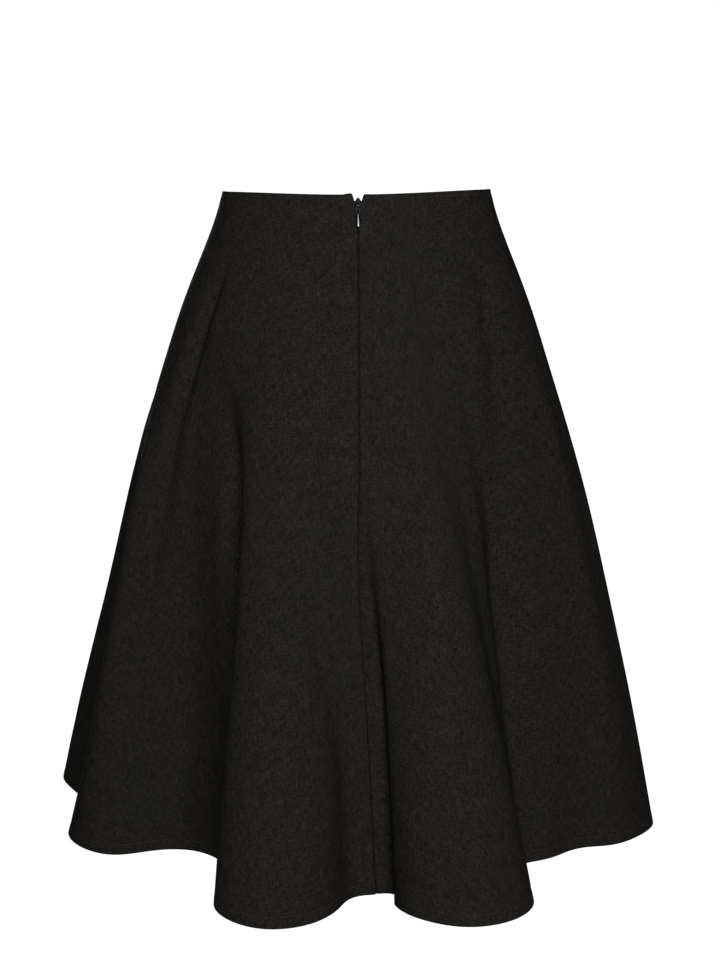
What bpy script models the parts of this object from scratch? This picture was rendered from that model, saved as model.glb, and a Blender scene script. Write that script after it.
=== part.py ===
# Flared skirt with a concealed zip at the centre back, as worn with no wearer in it.
# Sizes are in millimetres in this file and are turned to metres when the meshes are made.
# The waist is centred on the origin, +Z is up, the back with its zip faces -Y and +X is the wearer's right.

import math

import bmesh
import bpy
import numpy as np
from mathutils import Matrix, Vector

MM = 0.001

# Driving sizes of the garment
WAIST_HALF_WIDTH = 128.0
WAIST_HALF_DEPTH = 96.0
DROP = 631.0
WALL = 1.2
SEAM_GAP = 0.3
WAIST_TURN = 8.0
HEM_TURN = 12.0
BACK_DIP = 3.0
FRONT_DIP = 9.0
DIP_FADE = 60.0
RIGHT_LIFT = 2.2

# Driving sizes of the notch at the top of the zip
NOTCH_DEPTH = 20.0
NOTCH_HALF_WIDTH = 5.2
NOTCH_CURVE = 1.3
NOTCH_REACH = 16.0

# Driving sizes of the zip
TAPE_TOP = 5.8
TAPE_BOTTOM = 190.0
TAPE_WIDTH = 12.0
TAPE_WALL = 1.0
TAPE_EDGE = 1.2
SLIDER_DROP = 11.0
SLIDER_LENGTH = 12.0
SLIDER_TIP = 1.8
SLIDER_WIDTH = 5.4
SLIDER_PLATE = 1.5
SLIDER_CLEAR = 0.6
NECK_LENGTH = 2.2
NECK_WIDTH = 1.6
BRIDGE_WIDTH = 1.5
BRIDGE_BAR = 1.1
BRIDGE_RISE = 1.9
BRIDGE_HALF_WINDOW = 2.2
TAB_LENGTH = 19.0
TAB_WIDTH = 5.2
TAB_NECK_WIDTH = 4.2
TAB_WALL = 0.9
TAB_EYE_HALF_WIDTH = 1.1
TAB_EYE_LENGTH = 3.1
TAB_BAR = 0.9
TAB_BAR_CLEAR = 0.55
# How far the hanging tab is turned out from the slider's own plane, so that it lies clear of the flare
TAB_TILT = math.radians(3.0)

# Where the seams run, as fractions of the way round from the middle of the back valley
CENTRE_BACK = -0.0027
LEFT_SIDE = CENTRE_BACK + 0.25
RIGHT_SIDE = CENTRE_BACK + 0.75

# The body of the skirt under its folds: drop from the waist, half width, half depth
PROFILE = [
    (0.0, 128.0, 96.0),
    (9.0, 130.4, 98.2),
    (16.0, 132.3, 99.7),
    (33.0, 138.0, 104.0),
    (70.0, 153.0, 115.0),
    (110.0, 169.0, 127.0),
    (160.0, 186.0, 141.0),
    (210.0, 202.0, 154.0),
    (301.0, 228.0, 177.0),
    (396.0, 250.0, 198.0),
    (492.0, 271.0, 219.0),
    (DROP, 297.0, 247.0),
]

# The flutes at the hem, in order round the skirt: place, x, y, drop at which that fold starts to open
FLUTES = [
    ("back valley", 13, -198, 300),
    ("left lobe, inner flank", -14, -230, 250),
    ("left lobe, inner shoulder", -45, -268, 170),
    ("left lobe, crest", -76, -276, 140),
    ("left lobe, outer shoulder", -106, -262, 130),
    ("left lobe, edge", -128, -222, 130),
    ("left lobe, neck", -119, -165, 130),
    ("left valley", -134, -108, 120),
    ("left valley, far side", -161, -86, 110),
    ("left shallow trough", -190, -85, 110),
    ("left side lobe", -233, -98, 110),
    ("left side lobe, corner", -276, -67, 100),
    ("left side lobe, edge", -290, -20, 100),
    ("left side valley", -283, 35, 110),
    ("left front flute, flank", -299, 88, 110),
    ("left front flute, crest", -318, 150, 110),
    ("left front flute, round", -290, 197, 110),
    ("left front flute, far side", -235, 190, 130),
    ("left front valley", -190, 170, 150),
    ("front left lobe, flank", -155, 205, 150),
    ("front left lobe, crest", -110, 268, 150),
    ("front left lobe, round", -62, 270, 160),
    ("front valley", -5, 215, 220),
    ("front right lobe, round", 58, 262, 160),
    ("front right lobe, crest", 112, 270, 150),
    ("front right lobe, flank", 160, 208, 150),
    ("right front valley", 188, 160, 150),
    ("right front flute, far side", 232, 172, 130),
    ("right front flute, round", 283, 182, 110),
    ("right front flute, crest", 300, 130, 110),
    ("right front flute, flank", 284, 80, 110),
    ("right side valley", 286, 38, 110),
    ("right side lobe, edge", 300, -4, 100),
    ("right side lobe, corner", 281, -45, 100),
    ("right side lobe", 248, -73, 120),
    ("right shallow trough", 210, -88, 150),
    ("right valley", 178, -122, 190),
    ("right lobe, neck", 158, -168, 200),
    ("right lobe, edge", 160, -218, 200),
    ("right lobe, outer shoulder", 137, -257, 190),
    ("right lobe, crest", 96, -271, 180),
    ("right lobe, inner shoulder", 57, -254, 210),
    ("right lobe, inner flank", 34, -221, 270),
    ("crease right of the seam", 22, -198, 285),
]
FOLD_SOFTNESS = 0.10

# The right back folds lean to the centre back as they rise: how far, where on the round, over what part
LEAN = 0.045
LEAN_AT = 0.875
LEAN_SPREAD = 0.055

# Shallow troughs pressed into the cloth: depth, half width as a part of the round, the drops where
# it starts, is full, starts to fade and ends, and its path as drop and place on the round
TROUGHS = [
    # left hip, narrow above and shallow below
    (6.0, 0.0075, 50, 130, 280, 420, [(60, 0.155), (120, 0.172), (180, 0.178), (240, 0.179), (300, 0.175), (420, 0.178)]),
    (3.5, 0.013, 200, 300, 500, 640, [(180, 0.178), (300, 0.175), (360, 0.178), (480, 0.180), (629, 0.172)]),
    # hollow that undercuts the left edge of the left back flute
    (24.0, 0.014, 110, 330, 380, 660, [(110, 0.142), (160, 0.134), (200, 0.122), (240, 0.115), (301, 0.111), (629, 0.108)]),
    # right hip
    (5.5, 0.009, 40, 90, 190, 320, [(60, 0.829), (98, 0.8325), (144, 0.836), (180, 0.840), (230, 0.843), (300, 0.845)]),
    # hollow right of the right back flute
    (12.0, 0.009, 150, 330, 640, 760, [(190, 0.8685), (231, 0.8645), (304, 0.8625), (397, 0.8665), (492, 0.8735), (629, 0.8805)]),
    # fold beside the centre back seam: a ridge on the seam and a sharp hollow right of it
    (-3.0, 0.006, 230, 420, 640, 760, [(290, 1.0015), (370, 1.001), (430, 0.9995), (480, 0.9985), (629, 0.9980)]),
    (10.0, 0.005, 230, 380, 640, 760, [(290, 0.9950), (370, 0.9940), (430, 0.9928), (480, 0.9920), (629, 0.9920)]),
    # inner side of the left back flute
    (5.0, 0.010, 230, 360, 560, 760, [(310, 0.055), (372, 0.035), (428, 0.0235), (480, 0.0125), (535, 0.009), (629, 0.0095)]),
    # right side, low down
    (4.0, 0.010, 420, 540, 640, 760, [(420, 0.817), (501, 0.822), (581, 0.828), (629, 0.8306)]),
    # left side: the side flute folds over in front of the front one
    (16.0, 0.020, 170, 420, 520, 680, [(170, 0.250), (629, 0.255)]),
    (-9.5, 0.020, 120, 260, 320, 740, [(180, 0.275), (240, 0.280), (360, 0.290), (480, 0.303), (600, 0.314)]),
]

# Rows of each panel, as drops from the waist edge
ROWS = [0.0, 3.5, WAIST_TURN, WAIST_TURN + 1.0, 15.0, 24.0, 38.0, 62.0, 98.0, 145.0, 200.0, 262.0]
ROWS += [332.0, 405.0, 482.0, 556.0, DROP - HEM_TURN - 1.0, DROP - HEM_TURN, DROP]
TAPE_ROWS = [TAPE_TOP, WAIST_TURN + 1.4, WAIST_TURN + 2.6, 15.0, 24.0, 38.0, 62.0, 98.0, 145.0, TAPE_BOTTOM]
BACK_COLUMNS = 54
FRONT_COLUMNS = 84

# Fine tables that the curves are read from
TABLE = 4000


def cubic_through(s, v, q, period):
    """A smooth closed curve through the values v at places s, read at places q."""
    s = np.asarray(s, float)
    v = np.asarray(v, float)
    n = len(s)
    h = np.diff(np.append(s, s[0] + period))
    grid = np.zeros((n, n))
    right = np.zeros(n)
    for i in range(n):
        grid[i, i - 1] += h[i - 1]
        grid[i, i] += 2.0 * (h[i - 1] + h[i])
        grid[i, (i + 1) % n] += h[i]
        right[i] = 6.0 * ((v[(i + 1) % n] - v[i]) / h[i] - (v[i] - v[i - 1]) / h[i - 1])
    bend = np.linalg.solve(grid, right)
    q = np.mod(q - s[0], period) + s[0]
    i = np.clip(np.searchsorted(s, q, side="right") - 1, 0, n - 1)
    j = (i + 1) % n
    t = q - s[i]
    w = h[i]
    ends = (v[i] / w - bend[i] * w / 6.0) * (w - t) + (v[j] / w - bend[j] * w / 6.0) * t
    return (bend[i] * (w - t) ** 3 + bend[j] * t**3) / (6.0 * w) + ends


def open_cubic_through(s, v, q):
    """A smooth open curve through the values v at places s, free at both ends."""
    s = np.asarray(s, float)
    v = np.asarray(v, float)
    n = len(s)
    h = np.diff(s)
    grid = np.eye(n)
    right = np.zeros(n)
    for i in range(1, n - 1):
        grid[i, i - 1] = h[i - 1]
        grid[i, i] = 2.0 * (h[i - 1] + h[i])
        grid[i, i + 1] = h[i]
        right[i] = 6.0 * ((v[i + 1] - v[i]) / h[i] - (v[i] - v[i - 1]) / h[i - 1])
    bend = np.linalg.solve(grid, right)
    i = np.clip(np.searchsorted(s, q, side="right") - 1, 0, n - 2)
    t = q - s[i]
    w = h[i]
    ends = (v[i] / w - bend[i] * w / 6.0) * (w - t) + (v[i + 1] / w - bend[i + 1] * w / 6.0) * t
    return (bend[i] * (w - t) ** 3 + bend[i + 1] * t**3) / (6.0 * w) + ends


def smooth_step(t):
    t = np.clip(t, 0.0, 1.0)
    return t * t * (3.0 - 2.0 * t)


class Skirt:
    """The outer face of the cloth: a point for each place round the skirt and each drop."""

    def __init__(self):
        self.x = np.array([row[1] for row in FLUTES], float)
        self.y = np.array([row[2] for row in FLUTES], float)
        self.start = np.array([row[3] for row in FLUTES], float)
        chord = np.hypot(np.roll(self.x, -1) - self.x, np.roll(self.y, -1) - self.y)
        self.knots = np.concatenate([[0.0], np.cumsum(chord)[:-1]]) / chord.sum()
        self.u = np.linspace(0.0, 1.0, TABLE + 1)
        hem_x = cubic_through(self.knots, self.x, self.u, 1.0)
        hem_y = cubic_through(self.knots, self.y, self.u, 1.0)
        self.hem_arc = np.concatenate([[0.0], np.cumsum(np.hypot(np.diff(hem_x), np.diff(hem_y)))])
        self.angle = np.linspace(-0.5 * math.pi, -2.5 * math.pi, TABLE + 1)
        waist_x = WAIST_HALF_WIDTH * np.cos(self.angle)
        waist_y = WAIST_HALF_DEPTH * np.sin(self.angle)
        self.waist_arc = np.concatenate([[0.0], np.cumsum(np.hypot(np.diff(waist_x), np.diff(waist_y)))])
        self.drops = np.array([row[0] for row in PROFILE])
        self.half_width = np.array([row[1] for row in PROFILE])
        self.half_depth = np.array([row[2] for row in PROFILE])

    def body(self, angle, drop):
        width = open_cubic_through(self.drops, self.half_width, drop)
        depth = open_cubic_through(self.drops, self.half_depth, drop)
        return width * np.cos(angle), depth * np.sin(angle)

    def fold_start(self, u):
        k = np.append(self.knots, 1.0)
        v = np.append(self.start, self.start[0])
        q = np.mod(u, 1.0)
        i = np.clip(np.searchsorted(k, q, side="right") - 1, 0, len(self.start) - 1)
        t = smooth_step((q - k[i]) / (k[i + 1] - k[i]))
        return v[i] * (1.0 - t) + v[i + 1] * t

    def opening(self, drop, start):
        """How far a fold has opened: 0 at the waist, 1 at the hem, nearly straight between."""

        def ramp(d):
            s = (d - start) / (DROP - start)
            return 0.5 * (s + np.sqrt(s * s + FOLD_SOFTNESS**2))

        return (ramp(drop) - ramp(0.0)) / (ramp(DROP) - ramp(0.0))

    def plain(self, place, drop):
        place, drop = np.broadcast_arrays(np.asarray(place, float), np.asarray(drop, float))
        turn = np.mod(place, 1.0)
        u = np.interp(turn, self.hem_arc / self.hem_arc[-1], self.u)
        lean = LEAN * np.exp(-(((np.mod(turn - LEAN_AT + 0.5, 1.0) - 0.5) / LEAN_SPREAD) ** 2))
        angle = np.interp(np.mod(turn + lean, 1.0), self.waist_arc / self.waist_arc[-1], self.angle)
        x, y = self.body(angle, drop)
        x_low, y_low = self.body(angle, np.full_like(drop, DROP))
        grow = self.opening(drop, self.fold_start(u))
        x = x + grow * (cubic_through(self.knots, self.x, u, 1.0) - x_low)
        y = y + grow * (cubic_through(self.knots, self.y, u, 1.0) - y_low)
        side = np.sin(angle)
        dip = np.where(side < 0.0, BACK_DIP * side**4, FRONT_DIP * side**2) * np.exp(-drop / DIP_FADE)
        tilt = RIGHT_LIFT * 0.5 * (1.0 + np.cos(angle)) * np.exp(-drop / DIP_FADE)
        return np.stack([x, y, tilt - drop - dip], -1)

    def trough(self, place, drop):
        total = np.zeros(place.shape)
        for deep, wide, top, full, fade, end, path in TROUGHS:
            centre = np.interp(drop, [p[0] for p in path], [p[1] for p in path])
            across = np.mod(place - centre + 0.5, 1.0) - 0.5
            along = smooth_step((drop - top) / (full - top)) * smooth_step((end - drop) / (end - fade))
            total += deep * along * np.exp(-((across / wide) ** 2))
        return total

    def frame(self, place, drop):
        """Outer point, the direction round the skirt, and the outward normal."""
        place, drop = np.broadcast_arrays(np.asarray(place, float), np.asarray(drop, float))
        step = 0.0005

        def cloth(p, d):
            a = self.plain(p + step, d) - self.plain(p - step, d)
            b = self.plain(p, np.minimum(d + 0.5, DROP)) - self.plain(p, np.maximum(d - 0.5, 0.0))
            n = np.cross(a, b)
            n /= np.linalg.norm(n, axis=-1, keepdims=True)
            return self.plain(p, d) - n * self.trough(p, d)[..., None]

        point = cloth(place, drop)
        a = cloth(place + step, drop) - cloth(place - step, drop)
        b = cloth(place, np.minimum(drop + 0.5, DROP)) - cloth(place, np.maximum(drop - 0.5, 0.0))
        n = np.cross(a, b)
        n /= np.linalg.norm(n, axis=-1, keepdims=True)
        a /= np.linalg.norm(a, axis=-1, keepdims=True)
        return point, a, n


def notch(drop):
    """Half width of the V at the top of the centre back."""
    return NOTCH_HALF_WIDTH * np.clip(1.0 - drop / NOTCH_DEPTH, 0.0, 1.0) ** NOTCH_CURVE


def material(name, colour, rough):
    made = bpy.data.materials.new(name)
    made.use_nodes = True
    shader = made.node_tree.nodes["Principled BSDF"]
    shader.inputs["Base Color"].default_value = (*colour, 1.0)
    shader.inputs["Roughness"].default_value = rough
    return made


def add_object(name, mesh, collection, look):
    mesh.materials.append(look)
    made = bpy.data.objects.new(name, mesh)
    collection.objects.link(made)
    return made


def wall_mesh(name, outer, inner):
    """A closed wall from two grids of points, rows first, that share their shape."""
    rows, columns = outer.shape[:2]
    verts = [tuple(p * MM) for grid in (outer, inner) for line in grid for p in line]
    half = rows * columns

    def at(layer, r, c):
        return layer * half + r * columns + c

    faces = []
    for r in range(rows - 1):
        for c in range(columns - 1):
            faces.append((at(0, r, c), at(0, r, c + 1), at(0, r + 1, c + 1), at(0, r + 1, c)))
            faces.append((at(1, r, c), at(1, r + 1, c), at(1, r + 1, c + 1), at(1, r, c + 1)))
    for c in range(columns - 1):
        faces.append((at(0, 0, c), at(1, 0, c), at(1, 0, c + 1), at(0, 0, c + 1)))
        faces.append((at(0, rows - 1, c), at(0, rows - 1, c + 1), at(1, rows - 1, c + 1), at(1, rows - 1, c)))
    for r in range(rows - 1):
        faces.append((at(0, r, 0), at(0, r + 1, 0), at(1, r + 1, 0), at(1, r, 0)))
        last = columns - 1
        faces.append((at(0, r, last), at(1, r, last), at(1, r + 1, last), at(0, r + 1, last)))
    mesh = bpy.data.meshes.new(name)
    mesh.from_pydata(verts, [], faces)
    bm = bmesh.new()
    bm.from_mesh(mesh)
    bmesh.ops.recalc_face_normals(bm, faces=bm.faces)
    bm.to_mesh(mesh)
    bm.free()
    return mesh


def pull_from_seams(skirt, point, along, place, drop, first, last):
    """Opens the seam gaps at both ends of a panel, and the notch where an end is the centre back."""
    out = point.copy()
    for end, sign in ((first, 1.0), (last, -1.0)):
        centre_back = min(abs(end - CENTRE_BACK), abs(end - 1.0 - CENTRE_BACK)) < 1e-6
        here = skirt.plain(np.full_like(place, end), drop)
        away = np.linalg.norm(point - here, axis=-1)
        away = np.where(sign * (place - end) < 0.08, away, 1e6)
        shift = 0.5 * SEAM_GAP * np.exp(-away / 2.0)
        if centre_back:
            shift = shift + notch(drop) * np.exp(-away / NOTCH_REACH)
        out += along * (sign * shift)[..., None]
    return out


def panel(skirt, name, first, last, columns, collection, look):
    place, drop = np.meshgrid(np.linspace(first, last, columns + 1), np.array(ROWS))
    point, along, normal = skirt.frame(place, drop)
    outer = pull_from_seams(skirt, point, along, place, drop, first, last)
    doubled = (drop <= WAIST_TURN + 0.01) | (drop >= DROP - HEM_TURN - 0.01)
    thick = np.where(doubled, 2.0 * WALL, WALL)
    return add_object(name, wall_mesh(name, outer, outer - normal * thick[..., None]), collection, look)


def tape(skirt, name, sign, collection, look):
    """Half of the zip's tape, inside the panel and its turned edge, from the seam outwards."""
    steps = 3
    rows = np.array(TAPE_ROWS)
    here = np.full_like(rows, CENTRE_BACK)
    point, along, normal = skirt.frame(here, rows)
    total = skirt.hem_arc[-1]
    behind = SEAM_GAP + np.where(rows < WAIST_TURN + 2.0, 2.0 * WALL, WALL)[:, None]
    outer = np.zeros((len(rows), steps + 1, 3))
    inner = np.zeros_like(outer)
    for k in range(steps + 1):
        reach = TAPE_EDGE + (TAPE_WIDTH - TAPE_EDGE) * k / steps
        place = here.copy()
        for _ in range(12):
            spot = skirt.plain(place, rows)
            far = np.linalg.norm(spot - skirt.plain(here, rows), axis=-1)
            place = place + sign * (reach - far) / total
        spot, _, out = skirt.frame(place, rows)
        outer[:, k] = spot - out * behind
        inner[:, k] = spot - out * (behind + TAPE_WALL)
    return add_object(name, wall_mesh(name, outer, inner), collection, look)


def zip_frame(skirt):
    """Axes at the slider: X across, Y outwards from the cloth, Z up along it."""
    point, along, normal = skirt.frame(np.array([CENTRE_BACK]), np.array([SLIDER_DROP]))
    low, _, _ = skirt.frame(np.array([CENTRE_BACK]), np.array([SLIDER_DROP + 5.0]))
    high, _, _ = skirt.frame(np.array([CENTRE_BACK]), np.array([SLIDER_DROP - 5.0]))
    up = Vector(high[0] - low[0]).normalized()
    across = Vector((1.0, 0.0, 0.0))
    out = up.cross(across).normalized()
    if out.dot(Vector(normal[0])) < 0.0:
        out.negate()
    across = out.cross(up).normalized()
    axes = Matrix((across, out, up)).transposed().to_4x4()
    axes.translation = Vector(point[0])
    return axes


def box(bm, low, high):
    made = bmesh.ops.create_cube(bm, size=1.0)
    size = [h - l for l, h in zip(low, high)]
    centre = [0.5 * (h + l) for l, h in zip(low, high)]
    bmesh.ops.transform(bm, matrix=Matrix.LocRotScale(Vector(centre), None, Vector(size)), verts=made["verts"])
    return made["verts"]


def bevel_box(name, low, high, radius):
    bm = bmesh.new()
    box(bm, low, high)
    bmesh.ops.bevel(bm, geom=bm.edges[:], offset=radius, segments=2, affect="EDGES", profile=0.5)
    mesh = bpy.data.meshes.new(name)
    bm.to_mesh(mesh)
    bm.free()
    return mesh


def united(name, pieces, collection, look, axes):
    """One closed body from overlapping boxes given in the slider's own axes."""
    objects = []
    for k, (low, high, radius) in enumerate(pieces):
        made = bpy.data.objects.new(f"{name}_{k}", bevel_box(f"{name}_{k}", low, high, radius))
        collection.objects.link(made)
        objects.append(made)
    main = objects[0]
    for other in objects[1:]:
        join = main.modifiers.new("join", "BOOLEAN")
        join.operation = "UNION"
        join.solver = "EXACT"
        join.object = other
    bpy.context.view_layer.update()
    shape = bpy.data.meshes.new_from_object(main.evaluated_get(bpy.context.evaluated_depsgraph_get()))
    for made in objects:
        bpy.data.objects.remove(made)
    shape.transform(Matrix.Scale(MM, 4) @ axes)
    shape.name = name
    shape.materials.clear()
    return add_object(name, shape, collection, look)


def slider(collection, look, axes):
    """Outer plate, inner plate, the neck through the notch, and the bridge that holds the pull tab."""
    half = 0.5 * SLIDER_LENGTH
    wide = 0.5 * SLIDER_WIDTH
    inside = -(2.0 * WALL + TAPE_WALL + 2.0 * SEAM_GAP + 0.2)
    top = half - NECK_LENGTH
    plate_out = SLIDER_CLEAR + SLIDER_PLATE
    arch_out = plate_out + BRIDGE_RISE
    window = BRIDGE_HALF_WINDOW
    arch = 0.5 * BRIDGE_WIDTH
    pieces = [
        ((-wide, SLIDER_CLEAR, -half), (wide, plate_out, half), 0.45),
        ((-0.35 * wide, SLIDER_CLEAR + 0.1, half - 1.0), (0.35 * wide, plate_out - 0.1, half + SLIDER_TIP), 0.3),
        ((-wide, inside - SLIDER_PLATE, -half), (wide, inside, half), 0.45),
        ((-0.5 * NECK_WIDTH, inside - 0.4, top), (0.5 * NECK_WIDTH, SLIDER_CLEAR + 0.4, half - 0.5), 0.15),
        ((-arch, plate_out - 0.5, window), (arch, arch_out + 0.3, window + BRIDGE_BAR), 0.2),
        ((-arch, plate_out - 0.5, -window - BRIDGE_BAR), (arch, arch_out + 0.3, -window), 0.2),
        ((-arch, arch_out, -window - BRIDGE_BAR), (arch, arch_out + BRIDGE_BAR, window + BRIDGE_BAR), 0.3),
    ]
    return united("zip_slider", pieces, collection, look, axes)


def tab_outline():
    """Half widths of the teardrop down its length, from the eye's bar to the round end."""
    rows = []
    count = 14
    for k in range(count + 1):
        t = k / count
        down = TAB_LENGTH * t
        belly = 0.5 * TAB_WIDTH * math.sqrt(max(0.0, 1.0 - max(0.0, (t - 0.80) / 0.20) ** 2))
        neck = 0.5 * TAB_NECK_WIDTH
        mix = min(1.0, t / 0.8)
        rows.append((down, belly if t > 0.8 else neck + (0.5 * TAB_WIDTH - neck) * mix**2))
    return rows


def pull_tab(collection, look, axes, pin, tilt):
    """A flat teardrop with a slot at its head that goes round the bridge's lower leg."""
    bm = bmesh.new()
    half = 0.5 * TAB_WALL
    top = -0.5 * TAB_BAR
    outline = tab_outline()
    right = [(w, top - d if d > 0.0 else top + TAB_BAR) for d, w in outline if w > 0.3]
    tip = (0.0, top - TAB_LENGTH)
    ring = [(x, z) for x, z in right] + [tip] + [(-x, z) for x, z in reversed(right)]
    slot_wide = TAB_EYE_HALF_WIDTH
    slot = [
        (slot_wide, top),
        (slot_wide, top - TAB_EYE_LENGTH + 0.5),
        (slot_wide - 0.5, top - TAB_EYE_LENGTH),
        (-slot_wide + 0.5, top - TAB_EYE_LENGTH),
        (-slot_wide, top - TAB_EYE_LENGTH + 0.5),
        (-slot_wide, top),
    ]
    edges = []
    for loop in (ring, slot):
        verts = [bm.verts.new((x, -half, z)) for x, z in loop]
        edges += [bm.edges.new((verts[i], verts[(i + 1) % len(verts)])) for i in range(len(verts))]
    bmesh.ops.triangle_fill(bm, use_beauty=True, edges=edges)
    face_list = bm.faces[:]
    made = bmesh.ops.extrude_face_region(bm, geom=face_list)
    moved = [g for g in made["geom"] if isinstance(g, bmesh.types.BMVert)]
    bmesh.ops.translate(bm, verts=moved, vec=(0.0, TAB_WALL, 0.0))
    bmesh.ops.recalc_face_normals(bm, faces=bm.faces)
    turn = Matrix.Rotation(tilt, 4, "X")
    bmesh.ops.transform(bm, matrix=Matrix.Scale(MM, 4) @ axes @ Matrix.Translation(pin) @ turn, verts=bm.verts)
    mesh = bpy.data.meshes.new("zip_pull_tab")
    bm.to_mesh(mesh)
    bm.free()
    return add_object("zip_pull_tab", mesh, collection, look)


def main():
    for old in list(bpy.data.objects):
        bpy.data.objects.remove(old)
    skirt = Skirt()
    garment = bpy.data.collections.new("flared_skirt")
    bpy.context.scene.collection.children.link(garment)
    cloth = material("black_woven_cloth", (0.012, 0.011, 0.011), 0.85)
    woven_tape = material("black_zip_tape", (0.01, 0.01, 0.01), 0.9)
    lacquer = material("black_lacquered_metal", (0.008, 0.008, 0.008), 0.25)
    panel(skirt, "back_panel_left", CENTRE_BACK, LEFT_SIDE, BACK_COLUMNS, garment, cloth)
    panel(skirt, "front_panel", LEFT_SIDE, RIGHT_SIDE, FRONT_COLUMNS, garment, cloth)
    panel(skirt, "back_panel_right", RIGHT_SIDE, CENTRE_BACK + 1.0, BACK_COLUMNS, garment, cloth)
    tape(skirt, "zip_tape_left", 1.0, garment, woven_tape)
    tape(skirt, "zip_tape_right", -1.0, garment, woven_tape)
    axes = zip_frame(skirt)
    slider(garment, lacquer, axes)
    pin_out = SLIDER_CLEAR + SLIDER_PLATE + 0.5 * BRIDGE_RISE
    pin_down = -BRIDGE_HALF_WINDOW + 0.5 * TAB_BAR + TAB_BAR_CLEAR
    pin = Vector((0.0, pin_out, pin_down))
    pull_tab(garment, lacquer, axes, pin, TAB_TILT)


main()
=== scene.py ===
import math

import bmesh
import bpy
import numpy as np
from bpy.props import FloatProperty, FloatVectorProperty, IntProperty, PointerProperty
from bpy.types import Operator, Panel, PropertyGroup
from mathutils import Matrix, Vector


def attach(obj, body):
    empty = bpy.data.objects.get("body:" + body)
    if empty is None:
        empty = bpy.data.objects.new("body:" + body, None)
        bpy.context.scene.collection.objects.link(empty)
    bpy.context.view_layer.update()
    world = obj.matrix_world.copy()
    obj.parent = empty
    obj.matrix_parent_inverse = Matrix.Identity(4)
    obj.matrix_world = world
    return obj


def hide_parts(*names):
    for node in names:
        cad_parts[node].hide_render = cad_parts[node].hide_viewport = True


bl_info = {
    "name": "Flared Skirt",
    "version": (1, 0, 0),
    "blender": (4, 5, 0),
    "location": "View3D > Sidebar > Flared Skirt",
    "description": "Builds a black flared skirt with a concealed back zip over its fixed frame",
    "category": "Object",
}

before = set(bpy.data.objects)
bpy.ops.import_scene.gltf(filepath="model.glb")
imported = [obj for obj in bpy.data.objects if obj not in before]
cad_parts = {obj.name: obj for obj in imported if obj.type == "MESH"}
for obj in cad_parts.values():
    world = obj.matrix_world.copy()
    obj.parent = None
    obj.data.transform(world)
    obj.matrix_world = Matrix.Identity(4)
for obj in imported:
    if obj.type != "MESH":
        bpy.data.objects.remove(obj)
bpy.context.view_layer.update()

# Sizes of the skirt's form are in millimetres, as a pattern maker writes them.
MM = 0.001
DROP = 631.0
WAIST_HALF_WIDTH = 128.0
WAIST_HALF_DEPTH = 96.0
BACK_DIP = 3.0
FRONT_DIP = 12.0
DIP_FADE = 60.0
RIGHT_LIFT = 2.2
WAIST_TURN = 8.0
HEM_TURN = 12.0
NOTCH_DEPTH = 20.0
NOTCH_HALF_WIDTH = 4.9
NOTCH_CURVE = 1.3
NOTCH_REACH = 16.0
SOLID_WALL = 1.2
SOLID_GAP = 0.3
FOLD_SOFTNESS = 0.10
LEAN = 0.045
LEAN_AT = 0.875
LEAN_SPREAD = 0.055
CENTRE_BACK = -0.0027
LEFT_SIDE = CENTRE_BACK + 0.25
RIGHT_SIDE = CENTRE_BACK + 0.75

# The cut: the skirt is a part of a circle, with the waist on the inner arc and the hem on the outer one.
CUT_WAIST_RADIUS = 314.0
CUT_ANGLE = math.radians(129.0)
CUT_LENGTH = 660.0

# Body of the skirt under its folds: drop, half width, half depth.
PROFILE = [
    (0.0, 128.0, 96.0),
    (9.0, 130.4, 98.2),
    (16.0, 132.3, 99.7),
    (33.0, 138.0, 104.0),
    (70.0, 153.0, 115.0),
    (110.0, 169.0, 127.0),
    (160.0, 186.0, 141.0),
    (210.0, 202.0, 154.0),
    (301.0, 228.0, 177.0),
    (396.0, 250.0, 198.0),
    (492.0, 271.0, 219.0),
    (DROP, 297.0, 247.0),
]

# Flutes at the hem in order round the skirt: x, y, drop at which the fold starts to open.
FLUTES = [
    (13, -198, 300), (-14, -230, 250), (-45, -268, 170), (-76, -276, 140),
    (-106, -262, 130), (-128, -222, 130), (-119, -165, 130), (-134, -108, 120),
    (-161, -86, 110), (-190, -85, 110), (-233, -98, 110), (-276, -67, 100),
    (-290, -20, 100), (-283, 35, 110), (-299, 88, 110), (-318, 150, 110),
    (-290, 197, 110), (-235, 190, 130), (-190, 170, 150), (-155, 205, 150),
    (-110, 268, 150), (-62, 270, 160), (-5, 215, 220), (58, 262, 160),
    (112, 270, 150), (160, 208, 150), (188, 160, 150), (232, 172, 130),
    (283, 182, 110), (300, 130, 110), (284, 80, 110), (286, 38, 110),
    (300, -4, 100), (281, -45, 100), (248, -73, 120), (210, -88, 150),
    (178, -122, 190), (158, -168, 200), (160, -218, 200), (137, -257, 190),
    (96, -271, 180), (57, -254, 210), (34, -221, 270), (22, -198, 285),
]

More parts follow.
